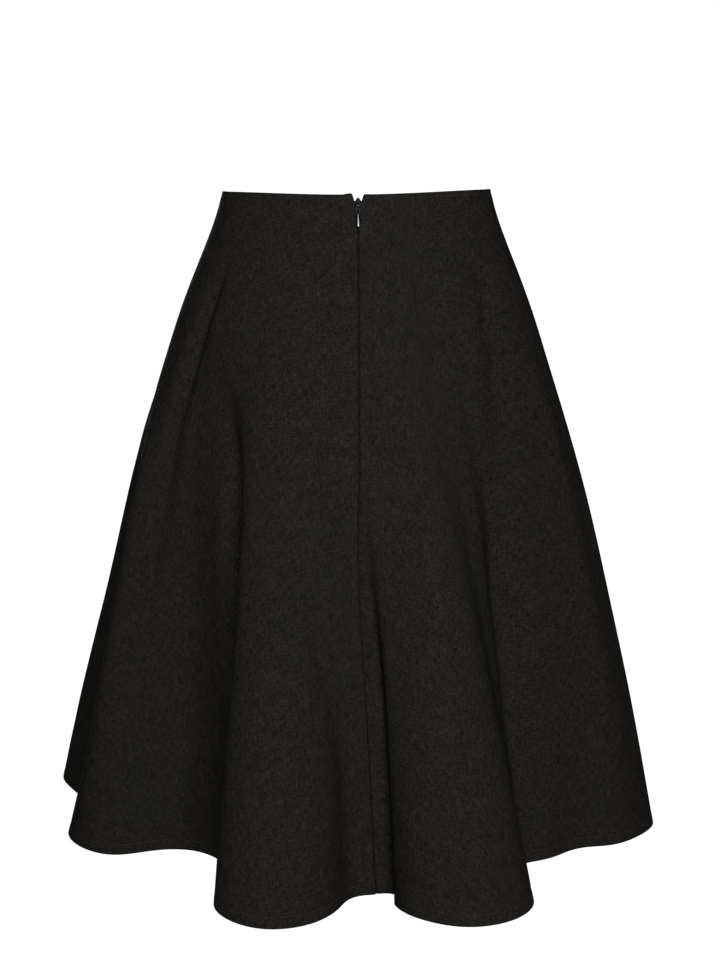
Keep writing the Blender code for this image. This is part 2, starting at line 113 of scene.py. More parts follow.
# Soft troughs, and ridges where the depth is below zero: depth, half width as a part of the round,
# the drops where it starts, is full, starts to fade and ends, and its path as drop and place.
TROUGHS = [
    # left hip, narrow above and shallow below
    (7.0, 0.008, 50, 130, 330, 560,
     [(60, 0.155), (120, 0.171), (174, 0.179), (222, 0.186), (270, 0.187), (327, 0.190), (441, 0.196)]),
    (3.5, 0.013, 200, 300, 500, 640, [(180, 0.182), (300, 0.186), (480, 0.188), (629, 0.178)]),
    # hollow that undercuts the left edge of the left back flute
    (23.0, 0.014, 150, 330, 380, 660,
     [(110, 0.142), (160, 0.134), (200, 0.122), (240, 0.115), (301, 0.111), (629, 0.108)]),
    # right hip
    (5.5, 0.009, 40, 90, 190, 320,
     [(60, 0.829), (98, 0.8325), (144, 0.836), (180, 0.840), (230, 0.843), (300, 0.845)]),
    # hollow right of the right back flute
    (22.0, 0.010, 150, 380, 640, 760,
     [(190, 0.863), (231, 0.8575), (304, 0.855), (397, 0.857), (492, 0.860), (545, 0.860), (629, 0.865)]),
    # fold beside the centre back seam: a ridge on the seam and a sharp hollow right of it
    (-3.0, 0.006, 230, 420, 640, 760, [(290, 1.0015), (370, 1.001), (430, 0.9995), (480, 0.9985), (629, 0.9980)]),
    (10.0, 0.005, 230, 380, 640, 760, [(290, 0.9950), (370, 0.9940), (430, 0.9928), (480, 0.9920), (629, 0.9920)]),
    # inner side of the left back flute
    (5.0, 0.010, 230, 360, 560, 760,
     [(310, 0.055), (372, 0.035), (428, 0.0235), (480, 0.0125), (535, 0.009), (629, 0.0095)]),
    # right side, low down
    (4.0, 0.010, 420, 540, 640, 760, [(420, 0.817), (501, 0.822), (581, 0.828), (629, 0.8306)]),
    # left side: the side flute folds over in front of the front one
    (16.0, 0.020, 170, 420, 520, 680, [(170, 0.250), (629, 0.255)]),
    (-9.5, 0.020, 120, 260, 320, 740, [(180, 0.275), (240, 0.280), (360, 0.290), (480, 0.303), (600, 0.314)]),
    # edge of the left side flute with the strip behind it, and the edge of the right one
    (-4.5, 0.009, 170, 300, 480, 650, [(190, 0.2140), (349, 0.2125), (430, 0.2135), (577, 0.2165)]),
    (2.0, 0.008, 170, 300, 480, 650, [(190, 0.2310), (349, 0.2295), (430, 0.2305), (577, 0.2335)]),
    (-3.5, 0.010, 120, 260, 440, 610, [(196, 0.8060), (387, 0.8070), (571, 0.8025)]),
]

# Drops of the rows of stitches, and of the zip's parts.
WAIST_STITCH = 4.0
HEM_STITCH = DROP - 10.3
SLIDER_DROP = 11.0
TAPE_TOP = 8.6
TAPE_CLOSES = 21.0
ZIP_END = 190.0

# Distances from the seam: the columns of the tape, and of a seam allowance that does or doesn't close the seam.
TAPE_COLUMNS = (1.25, 1.6, 3.0, 5.5, 8.0, 10.5, 11.9)
CLOSING_ALLOWANCE = (-1.6, 0.0, 1.0, 2.2, 4.0, 7.0, 10.0, 11.6, 12.0)
OPEN_ALLOWANCE = (2.2, 4.0, 7.0, 10.0, 12.0)

# The rims of the cloth: where the half turn of each edge has its rings.
RIM_ANGLES = (math.radians(35.0), math.radians(70.0))

# The slider's plates and the tab's pin, outwards from the cloth.
PLATE_LOW = 0.6
PLATE = 1.5
PIN = (0.0, PLATE_LOW + PLATE + 0.95, -1.2)

# The zip's metal: half outlines, across and up, listed from the top down.
SLIDER_OUTLINE = [
    (0.0, 7.8),
    (0.55, 7.5),
    (1.15, 6.7),
    (1.8, 5.95),
    (2.4, 5.2),
    (2.7, 4.2),
    (2.7, 0.0),
    (2.7, -3.6),
    (2.45, -5.1),
    (1.7, -5.85),
    (0.0, -6.0),
]
SLIDER_INSIDE = [(0.0, 6.0), (1.8, 5.8), (2.6, 4.8), (2.7, 0.0), (2.6, -4.8), (1.8, -5.8), (0.0, -6.0)]
TAB_OUTLINE = [
    (0.0, 0.45),
    (0.9, 0.3),
    (1.7, -0.3),
    (2.2, -1.1),
    (2.3, -1.9),
    (2.05, -2.8),
    (1.7, -3.7),
    (1.55, -4.8),
    (1.65, -6.6),
    (2.0, -9.0),
    (2.4, -11.3),
    (2.6, -13.3),
    (2.55, -15.1),
    (2.25, -16.8),
    (1.65, -18.2),
    (0.85, -19.15),
    (0.0, -19.45),
]
TAB_SLOT = [(0.0, -0.45), (0.8, -0.6), (1.1, -1.2), (1.1, -2.3), (0.8, -3.1), (0.0, -3.4)]


def cubic_through(s, v, q, period=None):
    """Reads a smooth curve through the values v at places s; closed if it has a period."""
    s = np.asarray(s, float)
    v = np.asarray(v, float)
    n = len(s)
    h = np.diff(np.append(s, s[0] + (period or 1.0)))
    grid = np.eye(n)
    right = np.zeros(n)
    for i in range(n) if period else range(1, n - 1):
        grid[i, i - 1] = h[i - 1]
        grid[i, i] = 2.0 * (h[i - 1] + h[i])
        grid[i, (i + 1) % n] = h[i]
        right[i] = 6.0 * ((v[(i + 1) % n] - v[i]) / h[i] - (v[i] - v[i - 1]) / h[i - 1])
    bend = np.linalg.solve(grid, right)
    if period:
        q = np.mod(q - s[0], period) + s[0]
    i = np.clip(np.searchsorted(s, q, side="right") - 1, 0, n - 1 if period else n - 2)
    j = (i + 1) % n
    t = q - s[i]
    w = h[i]
    ends = (v[i] / w - bend[i] * w / 6.0) * (w - t) + (v[j] / w - bend[j] * w / 6.0) * t
    return (bend[i] * (w - t) ** 3 + bend[j] * t**3) / (6.0 * w) + ends


def smooth_step(t):
    t = np.clip(t, 0.0, 1.0)
    return t * t * (3.0 - 2.0 * t)


def small_creases(count, seed):
    """Shallow uneven dents and swells, as woven cloth shows between its folds."""
    rng = np.random.default_rng(seed)
    rows = []
    for _ in range(count):
        depth = rng.uniform(0.15, 0.65) * rng.choice([-1.0, 1.0])
        place = rng.uniform(0.0, 1.0)
        top = rng.uniform(30.0, 520.0)
        length = rng.uniform(70.0, 240.0)
        slant = rng.uniform(-0.012, 0.012)
        rows.append(
            (
                depth,
                rng.uniform(0.004, 0.013),
                top,
                top + 0.35 * length,
                top + 0.6 * length,
                top + length,
                [(top, place), (top + length, place + slant)],
            )
        )
    return rows


class SkirtForm:
    """The outer face of the cloth: a point for each place round the skirt and each drop."""

    def __init__(self, folds):
        self.folds = folds
        self.x = np.array([row[0] for row in FLUTES], float)
        self.y = np.array([row[1] for row in FLUTES], float)
        self.start = np.array([row[2] for row in FLUTES], float)
        chord = np.hypot(np.roll(self.x, -1) - self.x, np.roll(self.y, -1) - self.y)
        self.knots = np.concatenate([[0.0], np.cumsum(chord)[:-1]]) / chord.sum()
        self.u = np.linspace(0.0, 1.0, 4001)
        hem_x = cubic_through(self.knots, self.x, self.u, 1.0)
        hem_y = cubic_through(self.knots, self.y, self.u, 1.0)
        self.hem_arc = np.concatenate([[0.0], np.cumsum(np.hypot(np.diff(hem_x), np.diff(hem_y)))])
        self.angle = np.linspace(-0.5 * math.pi, -2.5 * math.pi, 4001)
        waist_x = WAIST_HALF_WIDTH * np.cos(self.angle)
        waist_y = WAIST_HALF_DEPTH * np.sin(self.angle)
        self.waist_arc = np.concatenate([[0.0], np.cumsum(np.hypot(np.diff(waist_x), np.diff(waist_y)))])
        self.drops = np.array([row[0] for row in PROFILE])
        self.half_width = np.array([row[1] for row in PROFILE])
        self.half_depth = np.array([row[2] for row in PROFILE])

    def body(self, angle, drop):
        width = cubic_through(self.drops, self.half_width, drop)
        depth = cubic_through(self.drops, self.half_depth, drop)
        return width * np.cos(angle), depth * np.sin(angle)

    def fold_start(self, u):
        k = np.append(self.knots, 1.0)
        v = np.append(self.start, self.start[0])
        q = np.mod(u, 1.0)
        i = np.clip(np.searchsorted(k, q, side="right") - 1, 0, len(self.start) - 1)
        t = smooth_step((q - k[i]) / (k[i + 1] - k[i]))
        return v[i] * (1.0 - t) + v[i + 1] * t

    def opening(self, drop, start):
        """How far a fold has opened: 0 at the waist, 1 at the hem, nearly straight between."""

        def ramp(d):
            s = (d - start) / (DROP - start)
            return 0.5 * (s + np.sqrt(s * s + FOLD_SOFTNESS**2))

        return (ramp(drop) - ramp(0.0)) / (ramp(DROP) - ramp(0.0))

    def plain(self, place, drop):
        place, drop = np.broadcast_arrays(np.asarray(place, float), np.asarray(drop, float))
        turn = np.mod(place, 1.0)
        u = np.interp(turn, self.hem_arc / self.hem_arc[-1], self.u)
        lean = LEAN * np.exp(-(((np.mod(turn - LEAN_AT + 0.5, 1.0) - 0.5) / LEAN_SPREAD) ** 2))
        angle = np.interp(np.mod(turn + lean, 1.0), self.waist_arc / self.waist_arc[-1], self.angle)
        x, y = self.body(angle, drop)
        x_low, y_low = self.body(angle, np.full_like(drop, DROP))
        grow = self.opening(drop, self.fold_start(u))
        x = x + grow * (cubic_through(self.knots, self.x, u, 1.0) - x_low)
        y = y + grow * (cubic_through(self.knots, self.y, u, 1.0) - y_low)
        side = np.sin(angle)
        dip = np.where(side < 0.0, BACK_DIP * side**4, FRONT_DIP * side**2) * np.exp(-drop / DIP_FADE)
        tilt = RIGHT_LIFT * 0.5 * (1.0 + np.cos(angle)) * np.exp(-drop / DIP_FADE)
        return np.stack([x, y, tilt - drop - dip], -1)

    def pressed(self, place, drop):
        """How far the soft troughs press the cloth in at each point."""
        total = np.zeros(place.shape)
        for deep, wide, top, full, fade, end, path in self.folds:
            centre = np.interp(drop, [p[0] for p in path], [p[1] for p in path])
            across = np.mod(place - centre + 0.5, 1.0) - 0.5
            along = smooth_step((drop - top) / (full - top)) * smooth_step((end - drop) / (end - fade))
            total += deep * along * np.exp(-((across / wide) ** 2))
        return total

    def cloth(self, place, drop):
        step = 0.0005
        a = self.plain(place + step, drop) - self.plain(place - step, drop)
        b = self.plain(place, np.minimum(drop + 0.5, DROP)) - self.plain(place, drop - 0.5)
        n = np.cross(a, b)
        n /= np.linalg.norm(n, axis=-1, keepdims=True)
        return self.plain(place, drop) - n * self.pressed(place, drop)[..., None]

    def frame(self, place, drop):
        """Outer point, the direction round the skirt, and the outward normal."""
        place, drop = np.broadcast_arrays(np.asarray(place, float), np.asarray(drop, float))
        step = 0.0005
        point = self.cloth(place, drop)
        a = self.cloth(place + step, drop) - self.cloth(place - step, drop)
        b = self.cloth(place, np.minimum(drop + 0.5, DROP)) - self.cloth(place, drop - 0.5)
        n = np.cross(a, b)
        n /= np.linalg.norm(n, axis=-1, keepdims=True)
        a /= np.linalg.norm(a, axis=-1, keepdims=True)
        return point, a, n


FORM = SkirtForm(TROUGHS + small_creases(110, 7))


# Small helpers for colours and materials


def linear(hex_colour):
    """An sRGB hex colour as linear red, green and blue."""
    values = [int(hex_colour[i : i + 2], 16) / 255.0 for i in (1, 3, 5)]
    return tuple(v / 12.92 if v <= 0.04045 else ((v + 0.055) / 1.055) ** 2.4 for v in values)


def add_node(tree, kind, settings=None, links=None):
    """Adds a node, sets its attributes and unlinked inputs, and links the rest."""
    node = tree.nodes.new(kind)
    for name, value in (settings or {}).items():
        setattr(node, name, value)
    for name, value in (links or {}).items():
        socket = node.inputs[name]
        if isinstance(value, bpy.types.NodeSocket):
            tree.links.new(value, socket)
        else:
            socket.default_value = value
    return node


def new_material(name):
    made = bpy.data.materials.new(name)
    made.use_nodes = True
    tree = made.node_tree
    tree.nodes.clear()
    shader = add_node(tree, "ShaderNodeBsdfPrincipled")
    add_node(tree, "ShaderNodeOutputMaterial", None, {"Surface": shader.outputs[0]})
    return made, tree, shader


def noise(tree, vector, grain, detail, rough=0.5, dimensions="3D"):
    """Noise whose largest grain has the given size in metres."""
    links = {"Vector": vector, "Scale": 1.0 / grain, "Detail": detail, "Roughness": rough}
    return add_node(tree, "ShaderNodeTexNoise", {"noise_dimensions": dimensions}, links).outputs["Fac"]


def remap(tree, value, low, high, to_low, to_high, way="LINEAR"):
    """Takes a value from one range to another."""
    links = {"Value": value, "From Min": low, "From Max": high, "To Min": to_low, "To Max": to_high}
    return add_node(tree, "ShaderNodeMapRange", {"interpolation_type": way}, links).outputs[0]


def tint(tree, shader, colour, factor):
    """Gives the shader its colour, times a factor that changes over the surface."""
    kind = {"data_type": "RGBA", "blend_type": "MULTIPLY"}
    mix = add_node(tree, "ShaderNodeMix", kind, {0: 1.0, 6: (*colour, 1.0), 7: factor})
    tree.links.new(mix.outputs[2], shader.inputs["Base Color"])


def bump(tree, shader, height, strength, distance):
    """Roughens the shader's surface by a height."""
    links = {"Strength": strength, "Distance": distance, "Height": height}
    tree.links.new(add_node(tree, "ShaderNodeBump", None, links).outputs[0], shader.inputs["Normal"])


def woven_cloth(name, colour, thread, slub):
    """Black woven suiting, piece dyed: matt and slightly warm, with uneven yarns and faint patches."""
    made, tree, shader = new_material(name)
    cut = add_node(tree, "ShaderNodeUVMap", {"uv_map": "cut"}).outputs[0]
    # Real yarns lie about 0.5 mm apart, under a pixel here, so they are drawn as 1.15 mm uneven slubs.
    yarns = []
    for stretch in ((1.0, 0.16, 1.0), (0.22, 1.0, 1.0)):
        lay = add_node(tree, "ShaderNodeMapping", None, {"Vector": cut, "Scale": stretch}).outputs[0]
        yarns.append(noise(tree, lay, thread * MM, 2.0, 0.6, "2D"))
    weave = add_node(tree, "ShaderNodeMath", {"operation": "ADD"}, {0: yarns[0], 1: yarns[1]}).outputs[0]
    shade = remap(tree, weave, 0.7, 1.3, 1.0 - slub, 1.0 + slub)
    mottle = remap(tree, noise(tree, cut, 0.014, 3.0, 0.6, "2D"), 0.25, 0.75, 0.84, 1.16)
    both = add_node(tree, "ShaderNodeMath", {"operation": "MULTIPLY"}, {0: shade, 1: mottle}).outputs[0]
    tint(tree, shader, colour, both)
    bump(tree, shader, weave, 0.5, 0.0003)
    shader.inputs["Roughness"].default_value = 0.88
    shader.inputs["Specular IOR Level"].default_value = 0.02
    return made


def polyester_tape(name, colour):
    """Woven polyester zip tape: a tight matt herringbone with ribs 0.6 mm wide."""
    made, tree, shader = new_material(name)
    cut = add_node(tree, "ShaderNodeUVMap", {"uv_map": "cut"}).outputs[0]
    rib = add_node(
        tree,
        "ShaderNodeTexWave",
        {"wave_type": "BANDS", "bands_direction": "DIAGONAL"},
        {"Vector": cut, "Scale": 1.0 / (2.0 * math.pi * 0.0006), "Distortion": 0.4},
    ).outputs["Fac"]
    tint(tree, shader, colour, remap(tree, rib, 0.0, 1.0, 0.8, 1.2))
    bump(tree, shader, rib, 0.5, 0.0002)
    shader.inputs["Roughness"].default_value = 0.9
    shader.inputs["Specular IOR Level"].default_value = 0.02
    return made


def sewing_thread(name, colour):
    """Spun polyester thread, coloured lighter than the cloth as painted sheen and uneven along its fibres; its
    specular catches a little light along its turns.
    """
    made, tree, shader = new_material(name)
    place = add_node(tree, "ShaderNodeTexCoord").outputs["Object"]
    fibre = noise(tree, place, 0.0004, 2.0)
    tint(tree, shader, colour, remap(tree, fibre, 0.3, 0.7, 0.7, 1.3))
    shader.inputs["Roughness"].default_value = 0.6
    shader.inputs["Specular IOR Level"].default_value = 0.35
    return made


def black_lacquer(name, colour, rough, shine):
    """A smooth black skin, lacquer over die-cast zinc or moulded nylon, with a faint orange-peel."""
    made, tree, shader = new_material(name)
    place = add_node(tree, "ShaderNodeTexCoord").outputs["Object"]
    skin = noise(tree, place, 0.0012, 2.0)
    tree.links.new(remap(tree, skin, 0.0, 1.0, 0.75 * rough, 1.35 * rough), shader.inputs["Roughness"])
    bump(tree, shader, skin, 0.12, 0.0001)
    shader.inputs["Base Color"].default_value = (*colour, 1.0)
    shader.inputs["IOR"].default_value = 1.52
    shader.inputs["Specular IOR Level"].default_value = shine
    return made


# Small helpers for meshes


def link_mesh(name, mesh, look, body):
    made = bpy.data.objects.new(name, mesh)
    bpy.context.scene.collection.objects.link(made)
    if mesh.materials:
        mesh.materials.clear()
    for one in look if isinstance(look, tuple) else (look,):
        mesh.materials.append(one)
    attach(made, body)
    return made


def spaced(first, last, count, tight):
    """Columns from seam to seam, closer together within a few steps of each seam."""
    t = (np.arange(count) + 0.5) / count
    step = 1.0 - tight * (np.exp(-((t / 0.035) ** 2)) + np.exp(-(((1.0 - t) / 0.035) ** 2)))
    run = np.concatenate([[0.0], np.cumsum(step)])
    return first + (last - first) * run / run[-1]


def panel_rows(step):
    """Drops of the outer face, close together at the stitched edges."""
    top = [0.7, 1.4, 2.2, 3.0, 3.5, 3.9, 4.3, 4.8, 5.6, 6.6, 7.6, 8.2, 9.0, 10.5, 12.5, 15.0, 18.0, 21.5]
    low = [DROP - d for d in (14.5, 12.6, 11.7, 11.1, 10.7, 10.3, 9.9, 9.4, 8.4, 7.0, 5.5, 4.0, 2.6, 1.6, 0.9)]
    middle = np.linspace(25.0, DROP - 18.0, int(round((DROP - 43.0) / step)))
    return np.concatenate([top, middle, low])


def seam_distance(place, drop, end):
    """How far each point lies from a panel's seam end, in millimetres."""
    here = FORM.plain(np.full_like(place, end), drop)
    away = np.linalg.norm(FORM.plain(place, drop) - here, axis=-1)
    return np.where(np.abs(place - end) < 0.08, away, 1e6)


def notch(drop):
    """Half width of the V at the top of the centre back."""
    return NOTCH_HALF_WIDTH * np.clip(1.0 - drop / NOTCH_DEPTH, 0.0, 1.0) ** NOTCH_CURVE


def is_centre_back(end):
    return min(abs(end - CENTRE_BACK), abs(end - 1.0 - CENTRE_BACK)) < 1e-6


def seam_relief(deep, away, end):
    """How far the cloth sinks beside a seam: a pressed seam rolls in, and a zip's seam puckers a little."""
    open_here = notch(deep) if is_centre_back(end) else np.zeros_like(deep)
    sunk = 1.3 * np.exp(-((away / 1.1) ** 2)) * np.exp(-open_here / 0.8)
    sunk -= 0.22 * np.exp(-(((away - 3.2) / 1.8) ** 2))
    if is_centre_back(end):
        ripple = np.sin(deep / 7.3) * np.sin(deep / 23.0 + 1.3) + 0.6 * np.sin(deep / 11.9 + 0.6)
        zipped = smooth_step((215.0 - deep) / 40.0) * smooth_step((deep - 12.0) / 20.0)
        sunk += 0.22 * ripple * zipped * np.exp(-((away / 7.0) ** 2))
    return sunk


def stitch_relief(wide, deep):
    """How far the cloth sinks along its stitched lines, where the thread draws the hem in unevenly."""
    sunk = 0.34 * np.exp(-(((deep - WAIST_STITCH) / 0.55) ** 2))
    sunk += 0.42 * np.exp(-(((deep - HEM_STITCH) / 0.7) ** 2))
    sunk -= 0.25 * smooth_step((deep - (DROP - 9.6)) / 2.0)
    phases = np.random.default_rng(11).uniform(0.0, 6.28, 6)
    draw = sum(np.sin(wide * 2194.0 / k + p) for k, p in zip((9.0, 14.0, 23.0, 31.0, 47.0, 71.0), phases))
    return sunk + 0.10 * draw * np.exp(-(((deep - HEM_STITCH) / 5.0) ** 2))


def add_rims(outer, inner):
    """Adds half a turn of cloth between the outer and the inner face, at the waist and at the hem."""
    rings, inside = list(outer), list(inner)
    for edge, sign in ((0, -1), (len(outer) - 1, 1)):
        away = outer[edge] - outer[edge - sign]
        away /= np.linalg.norm(away, axis=-1, keepdims=True)
        middle = 0.5 * (outer[edge] + inner[edge])
        half = 0.5 * (outer[edge] - inner[edge])
        radius = np.linalg.norm(half, axis=-1, keepdims=True)
        for angle in RIM_ANGLES:
            lift = away * radius * 0.8 * math.sin(angle)
            at = len(rings) if sign > 0 else 0
            rings.insert(at, middle + half * math.cos(angle) + lift)
            inside.insert(at, middle - half * math.cos(angle) + lift)
    return rings, inside


def flat_cut(places, rows, middle):
    """Each point's place on the flat pattern piece, in metres, so that the weave follows the grain."""
    drops = np.concatenate([[-0.6, -0.3], rows, [DROP + 0.3, DROP + 0.6]])
    drops = np.concatenate([drops, drops[::-1]])
    turn = (places - middle) * CUT_ANGLE
    radius = CUT_WAIST_RADIUS + drops * CUT_LENGTH / DROP
    flat_u = radius[:, None] * np.sin(turn)[None, :] * MM
    flat_v = -radius[:, None] * np.cos(turn)[None, :] * MM
    return np.stack([flat_u, flat_v], -1).reshape(-1, 2)


def panel_mesh(name, first, last, columns, step, wall, gap):
    """A thin closed shell: outer face, turned rims at waist and hem, inner face and seam ends."""
    places = spaced(first, last, columns, 0.86)
    rows = panel_rows(step)
    wide, deep = np.meshgrid(places, rows)
    from_first = seam_distance(wide, deep, first)
    from_last = seam_distance(wide, deep, last)
    # The corners at the top of the zip are rounded, and the left one lifts a little.
    for end, away, lift in ((first, from_first, 1.3), (last, from_last, 0.2)):
        if is_centre_back(end):
            corner = 1.6
            cut = corner * (1.0 - np.sqrt(np.clip(1.0 - (1.0 - np.clip(away / corner, 0.0, 1.0)) ** 2, 0.0, 1.0)))
            rise = lift * smooth_step((13.0 - away) / 9.0)
            deep = deep + (cut - rise) * np.exp(-deep / 4.0)
    point, along, normal = FORM.frame(wide, deep)
    for end, away, sign in ((first, from_first, 1.0), (last, from_last, -1.0)):
        shift = 0.5 * gap * np.exp(-away / 1.5)
        if is_centre_back(end):
            shift = shift + notch(deep) * np.exp(-away / NOTCH_REACH)
        point = point + along * (sign * shift)[..., None]
    sunk = seam_relief(deep, from_first, first) + seam_relief(deep, from_last, last) + stitch_relief(wide, deep)
    turned = np.maximum(
        smooth_step((WAIST_TURN + 0.4 - deep) / 0.8), smooth_step((deep - (DROP - HEM_TURN - 0.4)) / 0.8)
    )
    outer = point - normal * sunk[..., None]
    inner = point - normal * (sunk + wall * (1.0 + turned))[..., None]
    rings, inside = add_rims(outer, inner)
    total = np.concatenate([rings, inside[::-1]])
    count_rows, count_columns = total.shape[:2]
    verts = (total.reshape(-1, 3) * MM).tolist()
    faces = []
    for r in range(count_rows):
        a, b = r * count_columns, (r + 1) % count_rows * count_columns
        faces += [(a + c, a + c + 1, b + c + 1, b + c) for c in range(count_columns - 1)]
    for r in range(len(rings) - 1):
        end_face = [k * count_columns for k in (r, r + 1, count_rows - 2 - r, count_rows - 1 - r)]
        faces.append(tuple(end_face))
        faces.append(tuple(k + count_columns - 1 for k in reversed(end_face)))
    shell = len(verts)
    # The seams are pressed open inside; one side reaches just past the seam, so no light comes through.
    for end, sign, reaches in ((first, 1.0, CLOSING_ALLOWANCE), (last, -1.0, OPEN_ALLOWANCE)):
        high = ZIP_END + 0.5 if is_centre_back(end) else WAIST_TURN + 3.0
        strip = allowance(end, sign, reaches, high, DROP - HEM_TURN + 2.0, wall)
        more_verts, more_faces = closed_strip(*strip, len(verts))
        verts += more_verts
        faces += more_faces
    mesh = bpy.data.meshes.new(name)
    mesh.from_pydata(verts, [], faces)
    tucked = np.array(verts[shell:]).reshape(-1, 3)
    flat = np.concatenate([flat_cut(places, rows, 0.5 * (first + last)), tucked[:, [1, 2]]])
    finish_cloth(mesh, flat)
    mesh.polygons.foreach_set("use_smooth", [True] * len(mesh.polygons))
    return mesh


def allowance(end, sign, reaches, high, low, wall):
    """Half of a seam allowance, pressed flat inside its panel: rows of outer and inner points."""
    rows = np.linspace(high, low, int((low - high) / 9.0))
    here = np.full_like(rows, end)
    step = 0.001
    pace = np.linalg.norm(FORM.plain(here + step, rows) - FORM.plain(here - step, rows), axis=-1) / (2.0 * step)
    outer, inner = [], []
    for reach in reaches:
        point, _, normal = FORM.frame(here + sign * reach / pace, rows)
        depth = wall + 0.4 + 1.6 * math.exp(-((reach / 1.5) ** 2))
        outer.append(point - normal * depth)
        inner.append(point - normal * (depth + 0.7 * wall))
    return np.array(outer).transpose(1, 0, 2), np.array(inner).transpose(1, 0, 2)


def closed_strip(outer, inner, base):
    """Vertices and faces of a closed strip from its two grids of points."""
    rows, columns = outer.shape[:2]
    verts = (np.concatenate([outer.reshape(-1, 3), inner.reshape(-1, 3)]) * MM).tolist()
    far = rows * columns
    faces = []
    for r in range(rows - 1):
        for c in range(columns - 1):
            a = base + r * columns + c
            faces.append((a, a + 1, a + columns + 1, a + columns))
            b = a + far
            faces.append((b, b + columns, b + columns + 1, b + 1))
        for c in (0, columns - 1):
            a = base + r * columns + c
            faces.append((a, a + columns, a + columns + far, a + far))
    for c in range(columns - 1):
        for r in (0, rows - 1):
            a = base + r * columns + c
            faces.append((a, a + far, a + 1 + far, a + 1))
    return verts, faces


def finish_cloth(mesh, flat):
    """Keeps each point's place on the cut, which the weave follows, and turns the faces outwards."""
    loops = np.zeros(len(mesh.loops), dtype=np.int32)
    mesh.loops.foreach_get("vertex_index", loops)
    layer = mesh.uv_layers.new(name="cut")
    layer.data.foreach_set("uv", np.array(flat)[loops].astype(np.float32).ravel())
    bm = bmesh.new()
    bm.from_mesh(mesh)
    bmesh.ops.recalc_face_normals(bm, faces=bm.faces)
    bm.to_mesh(mesh)
    bm.free()


def guide_line(place_list, drop_list, lift):
    """Points along the cloth with the way it faces, for what is sewn along it."""
    point, along, normal = FORM.frame(np.array(place_list), np.array(drop_list))
    return (point + normal * lift) * MM, normal


def guide_mesh(name, lines):
    """A mesh of open edge runs with the cloth's facing kept on its points."""
    verts = []
    edges = []
    facing = []
    for points, normals in lines:
        base = len(verts)
        verts += [tuple(p) for p in points]
        facing += [tuple(n) for n in normals]
        edges += [(base + i, base + i + 1) for i in range(len(points) - 1)]
    mesh = bpy.data.meshes.new(name)
    mesh.from_pydata(verts, edges, [])
    made = mesh.attributes.new("facing", "FLOAT_VECTOR", "POINT")
    made.data.foreach_set("vector", np.array(facing, dtype=np.float32).ravel())
    return mesh


def beads_tree(name):
    """Geometry Nodes: one long bead after another along an edge run, each turned to face with it."""
    tree = bpy.data.node_groups.new(name, "GeometryNodeTree")
    face = tree.interface
    face.new_socket(name="Geometry", in_out="INPUT", socket_type="NodeSocketGeometry")
    for label, value in (("Spacing", 0.0024), ("Length", 0.0017), ("Width", 0.0005), ("Height", 0.0004)):
        made = face.new_socket(name=label, in_out="INPUT", socket_type="NodeSocketFloat")
        made.default_value = value
        made.subtype = "DISTANCE"
    face.new_socket(name="Unevenness", in_out="INPUT", socket_type="NodeSocketFloat").default_value = 0.08
    face.new_socket(name="Seed", in_out="INPUT", socket_type="NodeSocketInt").default_value = 3
    face.new_socket(name="Material", in_out="INPUT", socket_type="NodeSocketMaterial")
    face.new_socket(name="Geometry", in_out="OUTPUT", socket_type="NodeSocketGeometry")
    given = add_node(tree, "NodeGroupInput").outputs
    path = add_node(tree, "GeometryNodeMeshToCurve", None, {"Mesh": given["Geometry"]}).outputs[0]
    even = add_node(tree, "GeometryNodeResampleCurve", None, {"Curve": path})
    even.mode = "LENGTH"
    tree.links.new(given["Spacing"], even.inputs["Length"])
    tangent = add_node(tree, "GeometryNodeInputTangent").outputs[0]
    vector = {"data_type": "FLOAT_VECTOR"}
    facing = add_node(tree, "GeometryNodeInputNamedAttribute", vector, {"Name": "facing"}).outputs[0]
    first = add_node(tree, "FunctionNodeAlignRotationToVector", {"axis": "X"}, {"Vector": tangent}).outputs[0]
    turned = {"Rotation": first, "Vector": facing}
    second = add_node(tree, "FunctionNodeAlignRotationToVector", {"axis": "Z", "pivot_axis": "X"}, turned)
    bead = add_node(tree, "GeometryNodeMeshUVSphere", None, {"Segments": 8, "Rings": 5, "Radius": 0.5}).outputs[0]
    sides = {"X": given["Length"], "Y": given["Width"], "Z": given["Height"]}
    size = add_node(tree, "ShaderNodeCombineXYZ", None, sides).outputs[0]
    low = add_node(tree, "ShaderNodeMath", {"operation": "SUBTRACT"}, {0: 1.0, 1: given["Unevenness"]}).outputs[0]
    high = add_node(tree, "ShaderNodeMath", {"operation": "ADD"}, {0: 1.0, 1: given["Unevenness"]}).outputs[0]
    chance = add_node(tree, "FunctionNodeRandomValue", {"data_type": "FLOAT"})
    floats = [s for s in chance.inputs if s.type == "VALUE" and s.enabled]
    tree.links.new(low, floats[0])
    tree.links.new(high, floats[1])
    tree.links.new(given["Seed"], chance.inputs["Seed"])
    amount = [s for s in chance.outputs if s.type == "VALUE"][0]
    scaled = add_node(tree, "ShaderNodeVectorMath", {"operation": "SCALE"}, {0: size, "Scale": amount}).outputs[0]
    placed = add_node(
        tree,
        "GeometryNodeInstanceOnPoints",
        None,
        {"Points": even.outputs[0], "Instance": bead, "Rotation": second.outputs[0], "Scale": scaled},
    ).outputs[0]
    real = add_node(tree, "GeometryNodeRealizeInstances", None, {"Geometry": placed}).outputs[0]
    smooth = add_node(tree, "GeometryNodeSetShadeSmooth", None, {"Geometry": real}).outputs[0]
    dressed = add_node(
        tree, "GeometryNodeSetMaterial", None, {"Geometry": smooth, "Material": given["Material"]}
    ).outputs[0]
    add_node(tree, "NodeGroupOutput", None, {"Geometry": dressed})
    return tree


